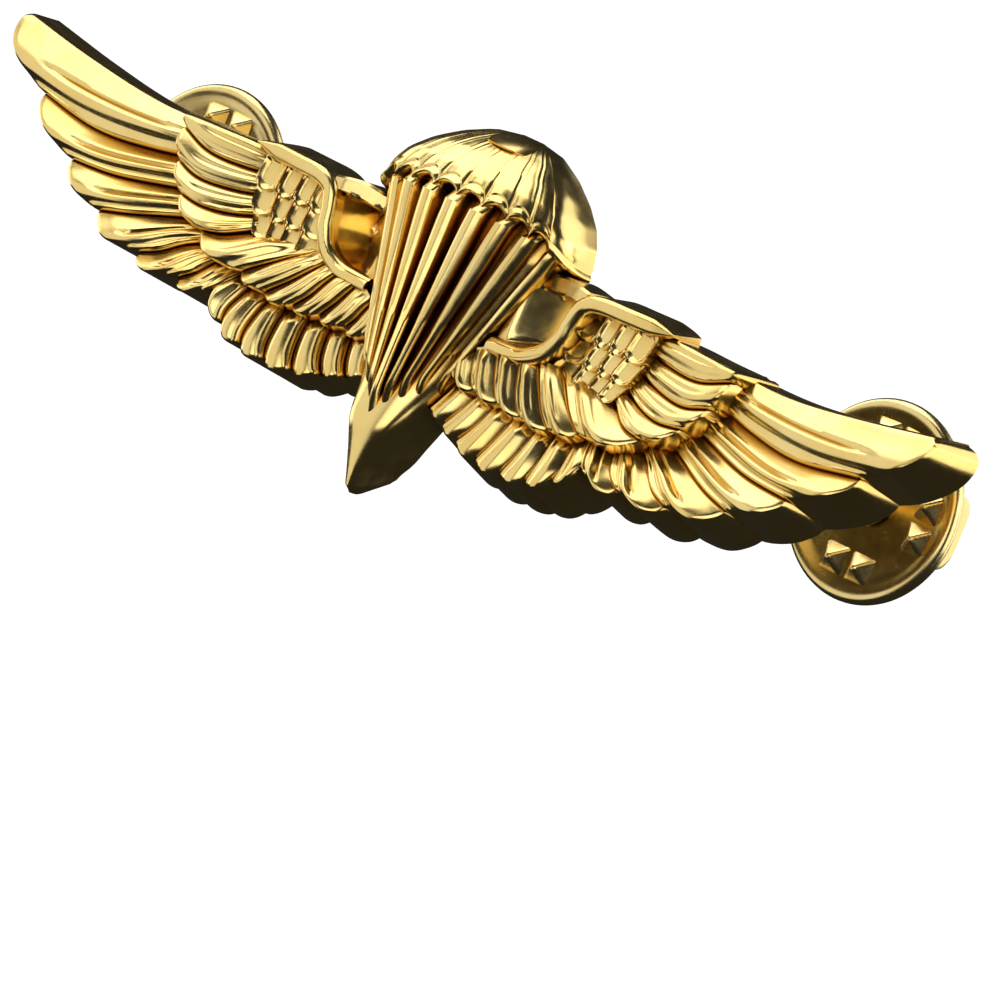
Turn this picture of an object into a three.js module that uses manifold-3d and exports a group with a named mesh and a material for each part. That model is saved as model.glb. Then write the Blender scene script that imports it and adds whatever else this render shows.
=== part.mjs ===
// Parachutist wings badge with two butterfly clutches, in millimetres.
// +X runs to the badge's right as seen from the front, +Z is up as worn, and the front faces -Y.
// The origin is on the flat back face, midway between the two posts.
import * as THREE from 'three';
import { mergeVertices } from 'three/addons/utils/BufferGeometryUtils.js';
import Module from 'manifold-3d';

const wasm = await Module();
wasm.setup();

// ---------- driving dimensions ----------
const WING_REACH = 34.6; // centre line to wing tip, at the front face
const WING_HEIGHT = 12.0; // shoulder band down to the lowest short feather
const FEATHER_RISE = 3.0; // back face to the top of the long feathers
const COVERT_RISE = 3.3; // back face to the top of the overlapping middle feathers
const SHORT_RISE = 2.8; // back face to the top of the short lower feathers
const SCALE_RISE = 2.9; // back face to the top of the small scale feathers
const SCALE_GROOVE = 0.3; // width and depth of the grooves between scales
const BAND_RISE = 3.5; // back face to the top of the shoulder band
const SADDLE_RISE = 1.7; // back face to the hollow between band and parachute
const FEATHER_CROWN = 0.35; // chamfer along every feather edge
const WALL_DRAFT = 0.8; // how far the back outline stands outside the front one
const EDGE_OVERLAP = 0.06; // neighbouring feathers run into each other by this much

const CANOPY_HALF_WIDTH = 7.1;
const CANOPY_TOP = 8.6; // above the wing datum line
const CANOPY_SKIRT = 4.3; // height of the skirt edge at the middle gore
const CANOPY_DEPTH = 4.7; // back face to the front of the canopy
const SKIRT_LIP = 0.45; // how far the canopy edge stands over the lines
const LINE_COUNT = 9; // raised suspension lines
const LINE_STEP = 15.3; // degrees between lines, about the parachute's upright axis
const LINE_WIDTH = 0.9;
const LINE_RISE = 0.75; // height of a line above the gap beside it
const ARCH_WIDTH = 0.9; // opening under each gore's edge, before it widens with the canopy
const CHUTE_POINT = -12.5; // height of the point where the lines meet
const POINT_DEPTH = 3.6; // back face to the front of the point
const POINT_HALF_WIDTH = 0.35;

const BRIDGE_THICKNESS = 1.2; // bar that joins the wings behind the parachute
const BRIDGE_TOP = 1.6;
const BRIDGE_BOTTOM = -4.6;
const SOLDER_GAP = 0.3; // gap left for solder round the parachute

const POST_DIAMETER = 1.0;
const POST_TAIL = 1.75; // length of post behind the middle of the clutch's jaws
const POST_POINT = 1.0; // length of the pointed tip
const POINT_BLUNT = 0.3; // length of the blunt end of that tip
const POST_ROOT = 0.05; // gap left for solder between post and back face
const POST_NOTCH = 0.12; // depth of the gripping notch
const PAD_DIAMETER = 3.2;
const PAD_THICKNESS = 0.6;
const PAD_GAP = 0.05;

const CLUTCH_STANDOFF = 6.3; // back face to the front of the clutch disc
const DISC_DIAMETER = 11.2;
const DISC_SHEET = 0.4;
const RIM_RADIUS = 0.42; // rolled edge
const PYRAMID_BASE = 1.3;
const PYRAMID_HEIGHT = 0.7;
const PYRAMID_PITCH = 1.7;
const PYRAMID_RING = 3.7; // distance of each pair from the post
const EYELET_CLEARANCE = 0.125; // round the post
const EYELET_WALL = 0.25;
const EYELET_FLANGE = 2.7;
const EYELET_FLANGE_SHEET = 0.25;
const EYELET_LENGTH = 0.8;
const SHELL_DIAMETER = 5.8;
const SHELL_DEPTH = 3.0;
const SHELL_SHEET = 0.3;
const SHELL_CLEARANCE = 0.4; // round the post, where it leaves the shell
const JAW_SHEET = 0.35;
const JAW_WIDTH = 2.2;
const JAW_STANDOFF = 1.55; // disc front to the middle of the jaws
const JAW_GRIP = 0.15; // middle of the post to the nearest edge of a jaw, beside the notch
const EAR_WIDTH = 4.2;
const EAR_LENGTH = 2.0;
const EAR_CORNER = 0.9; // radius of an ear's corners
const EAR_SLOPE = 3; // degrees that an ear leans outwards
const EAR_STANDOFF = 0.3; // shell to ear, beyond the running gap
const PINCH_ROOM = 0.35; // room left for the ears to swing
const SPRING_WIRE = 0.4;
const SPRING_SWEEP = 306; // degrees of the circle that the wire follows
const RUNNING_GAP = 0.1;

// ---------- materials ----------
const gold = (name, color, roughness) => {
  const material = new THREE.MeshStandardMaterial({ color, roughness, metalness: 1 });
  material.name = name;
  return material;
};
const POLISHED = gold('polished_gold', 0xe6bf68, 0.12);
const STAMPED = gold('stamped_gold', 0xe2c27a, 0.22);
const SPRING_GOLD = gold('spring_gold', 0xc79a45, 0.3);

// ---------- solids ----------
function toSolid(geometry) {
  const bare = geometry.index ? geometry.toNonIndexed() : geometry.clone();
  bare.deleteAttribute('normal');
  bare.deleteAttribute('uv');
  const merged = mergeVertices(bare, 1e-4);
  return new wasm.Manifold(
    new wasm.Mesh({
      numProp: 3,
      vertProperties: new Float32Array(merged.attributes.position.array),
      triVerts: new Uint32Array(merged.index.array),
    }),
  );
}

function toMesh(name, solid, material) {
  const { vertProperties, triVerts } = solid.getMesh();
  const geometry = new THREE.BufferGeometry();
  geometry.setAttribute('position', new THREE.BufferAttribute(new Float32Array(vertProperties), 3));
  geometry.setIndex(new THREE.BufferAttribute(new Uint32Array(triVerts), 1));
  geometry.computeVertexNormals();
  const mesh = new THREE.Mesh(geometry, material);
  mesh.name = name;
  return mesh;
}

const join = (solids) => solids.reduce((whole, next) => whole.add(next));

function boxSolid(low, high) {
  const size = high.map((value, axis) => value - low[axis]);
  const middle = high.map((value, axis) => (value + low[axis]) / 2);
  return toSolid(new THREE.BoxGeometry(...size).translate(...middle));
}

// Closed rings of points [x, y, z], all of one length, skinned into one body from back to front.
// Both ends are filled with the triangles of the second ring, which is the outline as drawn.
function skin(rings) {
  const drawn = (ring) => ring.map(([x, , z]) => new THREE.Vector2(x, z));
  const turnsLeft = THREE.ShapeUtils.area(drawn(rings[1])) > 0;
  const ordered = turnsLeft ? rings : rings.map((ring) => [...ring].reverse());
  const count = ordered[0].length;
  const front = (rings.length - 1) * count;
  const faces = [];
  for (const [a, b, c] of THREE.ShapeUtils.triangulateShape(drawn(ordered[1]), [])) {
    faces.push(a, c, b, front + a, front + b, front + c);
  }
  for (let level = 0; level < front; level += count) {
    for (let i = 0; i < count; i += 1) {
      const a = level + i;
      const b = level + ((i + 1) % count);
      faces.push(a, b, a + count, b, b + count, a + count);
    }
  }
  const geometry = new THREE.BufferGeometry();
  geometry.setAttribute('position', new THREE.Float32BufferAttribute(ordered.flat(2), 3));
  geometry.setIndex(faces);
  return toSolid(geometry);
}

// A closed outline of [x, z] points moved outwards by distance; it runs clockwise or not.
function grow(outline, distance) {
  const area = THREE.ShapeUtils.area(outline.map(([x, z]) => new THREE.Vector2(x, z)));
  const side = area > 0 ? 1 : -1;
  return outline.map(([x, z], i) => {
    const [px, pz] = outline.at(i - 1);
    const [nx, nz] = outline[(i + 1) % outline.length];
    const before = new THREE.Vector2(x - px, z - pz).normalize();
    const after = new THREE.Vector2(nx - x, nz - z).normalize();
    const along = before.clone().add(after).normalize();
    const reach = (side * distance) / Math.max(0.6, Math.abs(before.dot(along)));
    return [x + along.y * reach, z - along.x * reach];
  });
}

// A plate with the given front outline: drafted walls to the back face and a chamfered front edge.
function plate(outline, rise, crown = FEATHER_CROWN, draft = WALL_DRAFT) {
  const level = (points, y) => points.map(([x, z]) => [x, y, z]);
  return skin([
    level(grow(outline, draft), 0),
    level(grow(outline, EDGE_OVERLAP), crown - rise),
    level(grow(outline, EDGE_OVERLAP - crown), -rise),
  ]);
}

const smooth = (points, steps) =>
  new THREE.SplineCurve(points.map(([x, z]) => new THREE.Vector2(x, z)))
    .getSpacedPoints(steps)
    .map(({ x, y }) => [x, y]);

// ---------- wing layout, right wing, drawn from the centre line outwards ----------
// The pattern was drawn for a wing of this reach and height, and is stretched to the chosen ones.
const DRAWN_REACH = 34.6;
const DRAWN_HEIGHT = 12.0;
const DRAWN_POST = [25.5, -1.5]; // centre of each post, behind the long feathers
const onWing = ([x, z]) => [(x * WING_REACH) / DRAWN_REACH, (z * WING_HEIGHT) / DRAWN_HEIGHT];
const [POST_OUT, POST_UP] = onWing(DRAWN_POST);

// Edges between the long feathers, from the root outwards, the top edge of the wing first.
const LONG_EDGES = [
  [[18.5, 2.2], [24, 2.2], [29, 2.75], [33.4, 3.6]],
  [[18.5, 0.5], [22.5, -0.35], [26.5, -0.7], [31, -0.05]],
  [[17.5, -1.1], [21, -1.95], [24, -2.55], [27.2, -2.75]],
  [[16.6, -2.3], [19.5, -3.3], [21.8, -4.1], [23.9, -4.65]],
  [[15.4, -3.2], [17.4, -4.2], [18.7, -5.2], [20.1, -5.8]],
  [[13.8, -3.4], [15.1, -4.4], [15.8, -5.4], [16.8, -6.15]],
  [[12.6, -3.6], [13.2, -4.5], [13.7, -5.4], [14.2, -6.05]],
];
// Rounded free end of each long feather, from its upper edge to its lower edge.
const LONG_ENDS = [
  [[34.45, 3.1], [34.2, 2.1], [32.9, 0.85]],
  [[30.8, -0.75], [29.8, -1.6], [28.4, -2.35]],
  [[27.0, -3.3], [26.1, -4.0], [25.0, -4.45]],
  [[23.5, -5.2], [22.5, -5.8], [21.2, -5.9]],
  [[19.8, -6.3], [19.0, -6.55], [17.9, -6.4]],
  [[16.4, -6.6], [15.7, -6.65], [14.9, -6.35]],
];
// Edges between the overlapping middle feathers, from the shoulder outwards and down.
const COVERT_EDGES = [
  [[13.6, 2.3], [16, 2.4], [18.4, 2.35], [20.5, 2.35]],
  [[13.6, 1.3], [16, 0.9], [18.5, 0.85], [20.75, 1.6]],
  [[13.4, 0.25], [15.6, -0.4], [18.2, -0.7], [20.1, -0.2]],
  [[13.0, -0.8], [15.2, -1.65], [17.2, -2.0], [19.0, -1.8]],
  [[12.6, -1.4], [14.0, -2.2], [15.3, -2.9], [16.8, -3.2]],
  [[9.2, -1.6], [10.3, -2.4], [11.6, -3.4], [12.9, -4.35]],
  [[7.9, -1.7], [8.8, -2.8], [9.7, -3.8], [10.9, -4.85]],
  [[6.7, -1.8], [7.3, -2.8], [7.9, -3.9], [8.8, -4.9]],
  [[5.2, -1.9], [5.7, -2.9], [6.2, -3.8], [6.9, -4.75]],
  [[3.9, -2.6], [4.2, -3.3], [4.5, -4.0], [5.0, -4.7]],
  [[2.4, -3.0], [2.6, -3.5], [2.9, -4.0], [3.2, -4.5]],
];
const COVERT_ENDS = [
  [[20.9, 2.2], [20.95, 1.95], [20.9, 1.8]],
  [[20.75, 1.0], [20.55, 0.5], [20.3, 0.1]],
  [[20.0, -0.7], [19.7, -1.1], [19.35, -1.5]],
  [[18.7, -2.3], [18.1, -2.8], [17.4, -3.1]],
  [[16.0, -3.9], [15.2, -4.25], [14.0, -4.4]],
  [[12.5, -4.7], [12.0, -4.85], [11.4, -4.85]],
  [[10.5, -5.05], [10.0, -5.15], [9.4, -5.05]],
  [[8.4, -5.05], [7.9, -5.05], [7.3, -4.9]],
  [[6.5, -4.95], [6.0, -5.0], [5.5, -4.85]],
  [[4.6, -4.95], [4.1, -4.95], [3.6, -4.7]],
];
// Edges between the short lower feathers, from the coverts downwards, the outermost first.
const SHORT_EDGES = [
  [[13.4, -4.2], [13.9, -5.0], [14.1, -5.6], [14.0, -6.1]],
  [[12.2, -4.4], [12.5, -5.4], [12.7, -6.4], [12.6, -7.25]],
  [[10.8, -4.6], [11.0, -5.8], [11.05, -7.0], [10.9, -7.9]],
  [[9.6, -4.6], [9.6, -5.8], [9.4, -7.1], [9.0, -8.1]],
  [[7.9, -4.6], [7.8, -5.8], [7.5, -7.0], [7.05, -8.0]],
  [[6.3, -4.5], [6.2, -5.6], [5.8, -6.7], [5.2, -7.55]],
  [[4.9, -4.4], [4.7, -5.3], [4.3, -6.3], [3.8, -7.1]],
  [[3.2, -4.2], [3.1, -5.0], [2.8, -5.9], [2.4, -6.6]],
];
const SHORT_ENDS = [
  [[13.8, -6.6], [13.4, -7.05], [13.0, -7.3]],
  [[12.2, -7.75], [11.8, -8.0], [11.3, -8.05]],
  [[10.5, -8.25], [10.0, -8.35], [9.5, -8.3]],
  [[8.7, -8.35], [8.2, -8.45], [7.6, -8.3]],
  [[6.7, -8.2], [6.2, -8.15], [5.7, -7.9]],
  [[4.8, -7.6], [4.5, -7.55], [4.1, -7.35]],
  [[3.4, -7.1], [3.1, -7.0], [2.7, -6.8]],
];
// The block of scales: outer edge, then round under the band.
const SCALE_BLOCK = [
  [14.8, 2.1], [14.85, 1.0], [14.6, -0.2], [14.1, -1.3], [13.6, -2.1],
  [11.5, -2.15], [9.4, -2.1], [8.4, -1.2], [8.9, 0.4], [9.4, 2.0],
];
const SCALE_ROWS = [0.45, -0.85];
const SCALE_COLUMNS = [13.25, 12.05, 10.9];
// Middle line of the shoulder band, from its outer point round the corner to the parachute.
const BAND_LINE = [
  [15.4, 2.45], [12.5, 2.4], [10.2, 2.3], [9.35, 1.5],
  [9.0, 0.2], [8.3, -1.1], [7.0, -1.9], [4.6, -2.0],
];
const BAND_HALF_WIDTH = 0.5;
const BAND_TAPER = 3; // steps over which the band's outer end widens
// The hollow between the band and the parachute.
const SADDLE = [
  [3.5, 2.7], [6.0, 2.75], [7.6, 2.95], [9.2, 2.75],
  [9.3, 0.5], [8.5, -1.2], [7.0, -2.1], [3.5, -2.3],
];
const SADDLE_CROWN = 0.2;

const FEATHER_STEPS = 4;
function featherOutline(upper, end, lower) {
  const outer = [upper.at(-1), ...end, lower.at(-1)];
  return [
    ...smooth(upper, FEATHER_STEPS),
    ...smooth(outer, FEATHER_STEPS + 1).slice(1, -1),
    ...smooth(lower, FEATHER_STEPS).reverse(),
  ].map(onWing);
}

const featherRow = (edges, ends, rise) =>
  ends.map((end, i) => plate(featherOutline(edges[i], end, edges[i + 1]), rise));

function scaleBlock() {
  const block = plate(SCALE_BLOCK.map(onWing), SCALE_RISE);
  const half = SCALE_GROOVE / 2;
  const xs = SCALE_BLOCK.map(([x]) => x);
  const zs = SCALE_BLOCK.map(([, z]) => z);
  const groove = (low, high) => {
    const [x0, z0] = onWing(low);
    const [x1, z1] = onWing(high);
    const floor = SCALE_GROOVE - SCALE_RISE;
    return boxSolid([x0 - half, -2 * SCALE_RISE, z0 - half], [x1 + half, floor, z1 + half]);
  };
  const grooves = [
    ...SCALE_ROWS.map((z) => groove([Math.min(...xs), z], [Math.max(...xs), z])),
    ...SCALE_COLUMNS.map((x) => groove([x, Math.min(...zs)], [x, Math.max(...zs)])),
  ];
  return block.subtract(join(grooves));
}

function band() {
  const line = smooth(BAND_LINE, 12);
  const side = (sign) =>
    line.map(([x, z], i) => {
      const [ax, az] = line[Math.max(0, i - 1)];
      const [bx, bz] = line[Math.min(line.length - 1, i + 1)];
      const across = new THREE.Vector2(bz - az, ax - bx).normalize();
      const half = BAND_HALF_WIDTH * Math.min(1, (i + 0.75) / BAND_TAPER);
      return [x + sign * across.x * half, z + sign * across.y * half];
    });
  return plate([...side(1), ...side(-1).reverse()].map(onWing), BAND_RISE);
}

const saddle = () => plate(SADDLE.map(onWing), SADDLE_RISE, SADDLE_CROWN);

const rightWing = () =>
  join([
    ...featherRow(LONG_EDGES, LONG_ENDS, FEATHER_RISE),
    ...featherRow(COVERT_EDGES, COVERT_ENDS, COVERT_RISE),
    ...featherRow(SHORT_EDGES, SHORT_ENDS, SHORT_RISE),
    scaleBlock(),
    band(),
    saddle(),
  ]);

// ---------- parachute ----------
const LINE_ROOM = CANOPY_DEPTH - SKIRT_LIP; // front of the lines just under the skirt
const skirtDrop = (turn) => 1.1 * (1 - Math.cos(turn)); // the skirt hangs lower towards the sides

// Half-width of the parachute's outline at a height.
function chuteHalfWidth(z) {
  if (z >= CANOPY_SKIRT - 1) {
    const up = (z - CANOPY_SKIRT + 1) / (CANOPY_TOP - CANOPY_SKIRT + 1);
    return CANOPY_HALF_WIDTH * Math.sqrt(Math.max(0, 1 - up * up));
  }
  const down = (z - CHUTE_POINT) / (CANOPY_SKIRT - 1 - CHUTE_POINT);
  return THREE.MathUtils.lerp(POINT_HALF_WIDTH, CANOPY_HALF_WIDTH - SKIRT_LIP, down);
}

function chuteOutline(margin) {
  const heights = [];
  for (let i = 0; i <= 8; i += 1) {
    heights.push(CANOPY_SKIRT - 1 + (CANOPY_TOP - CANOPY_SKIRT + 1) * Math.sin((i * Math.PI) / 16));
  }
  const right = [[POINT_HALF_WIDTH, CHUTE_POINT], [CANOPY_HALF_WIDTH - SKIRT_LIP, CANOPY_SKIRT - 1.2]];
  right.push(...heights.slice(0, -1).map((z) => [chuteHalfWidth(z), z]));
  const outline = [...right, [0, CANOPY_TOP], ...right.map(([x, z]) => [-x, z]).reverse()];
  return grow(outline, margin);
}

const prism = (outline, front, back) => skin([back, front].map((y) => outline.map(([x, z]) => [x, y, z])));

function canopy() {
  const dome = new THREE.SphereGeometry(1, 32, 14);
  dome.scale(CANOPY_HALF_WIDTH, CANOPY_DEPTH, CANOPY_TOP - CANOPY_SKIRT + 1);
  dome.translate(0, 0, CANOPY_SKIRT - 1);
  const wide = 2 * CANOPY_HALF_WIDTH;
  const keep = boxSolid([-wide, -wide, CANOPY_SKIRT - 1.1], [wide, 0, CANOPY_TOP + 1]);
  return toSolid(dome).intersect(keep).subtract(skirtArches());
}

// Where line number i meets the skirt, as a turn about the parachute's upright axis.
const lineTurn = (i) => i * THREE.MathUtils.degToRad(LINE_STEP);

// The openings under the skirt: one round-topped arch between each pair of lines.
function skirtArches() {
  const cuts = [];
  const half = (LINE_COUNT - 1) / 2;
  const radius = ARCH_WIDTH / 2;
  for (let i = -half; i < half; i += 1) {
    const turn = (lineTurn(i) + lineTurn(i + 1)) / 2;
    const shape = new THREE.Shape();
    shape.moveTo(-radius, -CANOPY_SKIRT);
    shape.lineTo(radius, -CANOPY_SKIRT);
    shape.absarc(0, 0, radius, 0, Math.PI, false);
    const arch = new THREE.ExtrudeGeometry(shape, { depth: 2, bevelEnabled: false, curveSegments: 6 });
    arch.rotateX(Math.PI / 2);
    arch.translate(0, 1.2 - CANOPY_DEPTH, 0);
    arch.rotateZ(turn);
    arch.scale(CANOPY_HALF_WIDTH / CANOPY_DEPTH, 1, 1);
    arch.translate(0, 0, CANOPY_SKIRT - skirtDrop(turn));
    cuts.push(toSolid(arch));
  }
  return join(cuts);
}

const LINE_TOP = CANOPY_SKIRT + 0.6;
const LINES_MEET = CHUTE_POINT + 4.5; // above this the lines are separate

const CONE_SHARE = 0.7; // how far the cone's front turns towards the sides
const FLATTEST = 0.12; // keeps the cone's sides upright
const LINE_FOOT = 1.2; // depth of a line's root below its crest
const LINE_BEVEL = 0.15;
const LINE_END_WIDTH = 0.6; // width of a line at the point
const CONE_INSET = 0.1; // the cone below the lines stands this far inside them

// Half-width and depth of the parachute at a height below the skirt.
function coneSize(z) {
  const share = (z - CHUTE_POINT) / (LINE_TOP - CHUTE_POINT);
  return {
    share,
    half: THREE.MathUtils.lerp(POINT_HALF_WIDTH, CANOPY_HALF_WIDTH - SKIRT_LIP - SOLDER_GAP, share),
    deep: THREE.MathUtils.lerp(POINT_DEPTH, LINE_ROOM, Math.min(1, share * 2)),
  };
}

const roundness = (turn) => Math.sqrt(Math.max(FLATTEST, Math.cos(turn)));

// The cone under the lines: half an ellipse at each height, from the skirt to the point.
function coneRing(z, inset) {
  const { half, deep } = coneSize(z);
  const wide = half - inset / 2;
  const ring = [[-wide, 0, z]];
  for (let i = 0; i <= 12; i += 1) {
    const turn = Math.PI * (i / 12 - 0.5);
    ring.push([wide * Math.sin(turn), (inset - deep) * roundness(turn), z]);
  }
  ring.push([wide, 0, z]);
  return ring;
}

function cone() {
  const rings = [
    coneRing(CHUTE_POINT, CONE_INSET),
    coneRing(LINES_MEET, CONE_INSET),
    coneRing(LINES_MEET + 1.2, LINE_RISE),
    coneRing(LINE_TOP, LINE_RISE),
  ];
  return stack(rings);
}

// Rings that lie at one height each, skinned from the lowest to the highest.
function stack(rings) {
  const flat = (ring) => ring.map(([x, y, z]) => [x, z, y]);
  const laid = skin([...rings].reverse().map(flat)).getMesh();
  const places = new Float32Array(laid.vertProperties);
  for (let i = 0; i < places.length; i += 3) [places[i + 1], places[i + 2]] = [places[i + 2], places[i + 1]];
  const faces = new Uint32Array(laid.triVerts);
  for (let i = 0; i < faces.length; i += 3) [faces[i], faces[i + 1]] = [faces[i + 1], faces[i]];
  return new wasm.Manifold(new wasm.Mesh({ numProp: 3, vertProperties: places, triVerts: faces }));
}

function suspensionLine(i) {
  const turn = lineTurn(i);
  const section = (z) => {
    const { share, half, deep } = coneSize(z);
    const wide = THREE.MathUtils.lerp(LINE_END_WIDTH, LINE_WIDTH, share) / 2;
    const middle = [(half - wide / 2) * Math.sin(turn), -deep * roundness(turn)];
    const out = new THREE.Vector2(Math.sin(turn) * CONE_SHARE, -Math.cos(turn)).normalize();
    const corner = (across, along) => [
      middle[0] - out.y * across + out.x * along,
      Math.min(0, middle[1] + out.x * across + out.y * along),
      z,
    ];
    return [corner(-wide, -LINE_FOOT), corner(-wide, -LINE_BEVEL), corner(-wide / 2, 0), corner(wide / 2, 0),
      corner(wide, -LINE_BEVEL), corner(wide, -LINE_FOOT)];
  };
  return stack([section(LINES_MEET), section((LINES_MEET + LINE_TOP) / 2), section(LINE_TOP)]);
}

function parachuteSolid() {
  const half = (LINE_COUNT - 1) / 2;
  const lines = [];
  for (let i = -half; i <= half; i += 1) lines.push(suspensionLine(i));
  const whole = join([canopy(), cone(), ...lines]);
  const envelope = prism(chuteOutline(0), -CANOPY_DEPTH - 1, 0);
  return whole.intersect(envelope).subtract(bridge(SOLDER_GAP));
}

const bridge = (margin) =>
  boxSolid(
    [-CANOPY_HALF_WIDTH - 1, -BRIDGE_THICKNESS - margin, BRIDGE_BOTTOM - margin],
    [CANOPY_HALF_WIDTH + 1, margin, BRIDGE_TOP + margin],
  );

// ---------- wings casting ----------
function wingsSolid() {
  const right = rightWing();
  const { vertProperties, triVerts } = right.getMesh();
  const places = vertProperties.map((value, i) => (i % 3 === 0 ? -value : value));
  const faces = new Uint32Array(triVerts);
  for (let i = 0; i < faces.length; i += 3) [faces[i], faces[i + 1]] = [faces[i + 1], faces[i]];
  const left = new wasm.Manifold(new wasm.Mesh({ numProp: 3, vertProperties: places, triVerts: faces }));
  const room = prism(chuteOutline(SOLDER_GAP), -BAND_RISE - 1, 1);
  return join([right, left]).subtract(room).add(bridge(0).subtract(behindBack()));
}

const behindBack = () =>
  boxSolid([-WING_REACH, 0, -WING_REACH], [WING_REACH, 2, WING_REACH]);

// ---------- fits ----------
const POST_RADIUS = POST_DIAMETER / 2;
const POST_LENGTH = CLUTCH_STANDOFF + JAW_STANDOFF + POST_TAIL;
const EYELET_BORE = POST_RADIUS + EYELET_CLEARANCE;
const EYELET_TUBE = EYELET_BORE + EYELET_WALL;
const SHELL_BORE = POST_RADIUS + SHELL_CLEARANCE;
const SHELL_OUTER = SHELL_DIAMETER / 2;
const SHELL_INNER = SHELL_OUTER - SHELL_SHEET;
const SHELL_FRONT = DISC_SHEET + PAD_GAP;
const JAW_FRONT = JAW_STANDOFF - JAW_SHEET / 2;
const JAW_BACK = JAW_STANDOFF + JAW_SHEET / 2;

// ---------- turned pieces: profiles of [radius, distance along the post] ----------
function turned(profile, segments) {
  const points = profile.map(([radius, along]) => new THREE.Vector2(radius, along));
  return toSolid(new THREE.LatheGeometry(points, segments));
}

function postPad() {
  const inner = POST_RADIUS + PAD_GAP;
  const outer = PAD_DIAMETER / 2;
  const shoulder = (inner + outer) / 2;
  return turned(
    [[inner, PAD_GAP], [outer, PAD_GAP], [outer, PAD_THICKNESS / 2], [shoulder, PAD_THICKNESS],
      [inner, PAD_THICKNESS], [inner, PAD_GAP]],
    32,
  );
}

// A round pin with a gripping notch at the jaws and a blunt point.
function post() {
  const shank = POST_LENGTH - POST_POINT;
  const waist = POST_RADIUS - POST_NOTCH;
  const grip = CLUTCH_STANDOFF + JAW_STANDOFF;
  return turned(
    [[0, POST_ROOT], [POST_RADIUS, POST_ROOT], [POST_RADIUS, grip - JAW_SHEET],
      [waist, grip - JAW_SHEET + POST_NOTCH], [waist, grip + JAW_SHEET - POST_NOTCH],
      [POST_RADIUS, grip + JAW_SHEET], [POST_RADIUS, shank],
      [POST_RADIUS / 2, POST_LENGTH - POINT_BLUNT], [0, POST_LENGTH]],
    20,
  );
}

// ---------- clutch, drawn with its axis along its local Z and its front at zero ----------
function clutchDisc() {
  const outer = DISC_DIAMETER / 2;
  const hole = EYELET_TUBE + RUNNING_GAP;
  const rimCentre = outer - RIM_RADIUS;
  const plateSolid = turned(
    [[hole, 0], [rimCentre, 0], [rimCentre, DISC_SHEET], [hole, DISC_SHEET], [hole, 0]],
    40,
  );
  const rim = new THREE.TorusGeometry(rimCentre, RIM_RADIUS, 8, 40);
  rim.rotateX(Math.PI / 2);
  rim.translate(0, DISC_SHEET / 2, 0);
  const bumps = [];
  for (let quarter = 0; quarter < 4; quarter += 1) {
    for (const sign of [-1, 1]) {
      const bump = new THREE.ConeGeometry(PYRAMID_BASE * Math.SQRT1_2, PYRAMID_HEIGHT + 0.1, 4);
      bump.rotateY(Math.PI / 4);
      bump.rotateX(Math.PI);
      bump.translate((sign * PYRAMID_PITCH) / 2, 0.1 - (PYRAMID_HEIGHT + 0.1) / 2, PYRAMID_RING);
      bump.rotateY((quarter * Math.PI) / 2);
      bumps.push(toSolid(bump));
    }
  }
  return join([plateSolid, toSolid(rim), ...bumps]);
}

function eyelet() {
  const flange = EYELET_FLANGE / 2;
  const front = -RUNNING_GAP - EYELET_FLANGE_SHEET;
  return turned(
    [[EYELET_BORE, front], [flange, front], [flange, -RUNNING_GAP], [EYELET_TUBE, -RUNNING_GAP],
      [EYELET_TUBE, EYELET_LENGTH], [EYELET_BORE, EYELET_LENGTH], [EYELET_BORE, front]],
    28,
  );
}

// A cup behind the disc, with a window on each side for the jaws.
function backShell() {
  const back = SHELL_FRONT + SHELL_DEPTH;
  const floor = back - SHELL_SHEET;
  const cup = turned(
    [[SHELL_INNER, SHELL_FRONT], [SHELL_OUTER, SHELL_FRONT], [SHELL_OUTER, back], [SHELL_BORE, back],
      [SHELL_BORE, floor], [SHELL_INNER, floor], [SHELL_INNER, SHELL_FRONT]],
    36,
  );
  const half = JAW_WIDTH / 2 + 2 * RUNNING_GAP;
  const window = boxSolid(
    [-SHELL_DIAMETER, JAW_FRONT - PINCH_ROOM, -half],
    [SHELL_DIAMETER, JAW_BACK + PINCH_ROOM, half],
  );
  return cup.subtract(window);
}

// One thumb wing: a flat jaw that reaches the post and an ear that leans back and out.
function thumbWing() {
  const bend = SHELL_OUTER + RUNNING_GAP + EAR_STANDOFF;
  const half = JAW_WIDTH / 2;
  const jaw = boxSolid([JAW_GRIP, JAW_FRONT, -half], [bend + JAW_SHEET, JAW_BACK, half]);
  const notchRadius = POST_RADIUS + RUNNING_GAP;
  const notch = new THREE.CylinderGeometry(notchRadius, notchRadius, 2 * CLUTCH_STANDOFF, 20);
  const side = EAR_WIDTH / 2;
  const flare = EAR_LENGTH - EAR_CORNER;
  const shape = new THREE.Shape();
  shape.moveTo(-half, 0);
  shape.lineTo(half, 0);
  shape.lineTo(side, flare);
  shape.absarc(side - EAR_CORNER, flare, EAR_CORNER, 0, Math.PI / 2, false);
  shape.absarc(EAR_CORNER - side, flare, EAR_CORNER, Math.PI / 2, Math.PI, false);
  const ear = new THREE.ExtrudeGeometry(shape, { depth: JAW_SHEET, bevelEnabled: false, curveSegments: 5 });
  ear.rotateY(Math.PI / 2);
  ear.rotateZ(-THREE.MathUtils.degToRad(EAR_SLOPE));
  ear.translate(bend, JAW_FRONT, 0);
  return jaw.subtract(toSolid(notch)).add(toSolid(ear));
}

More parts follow.
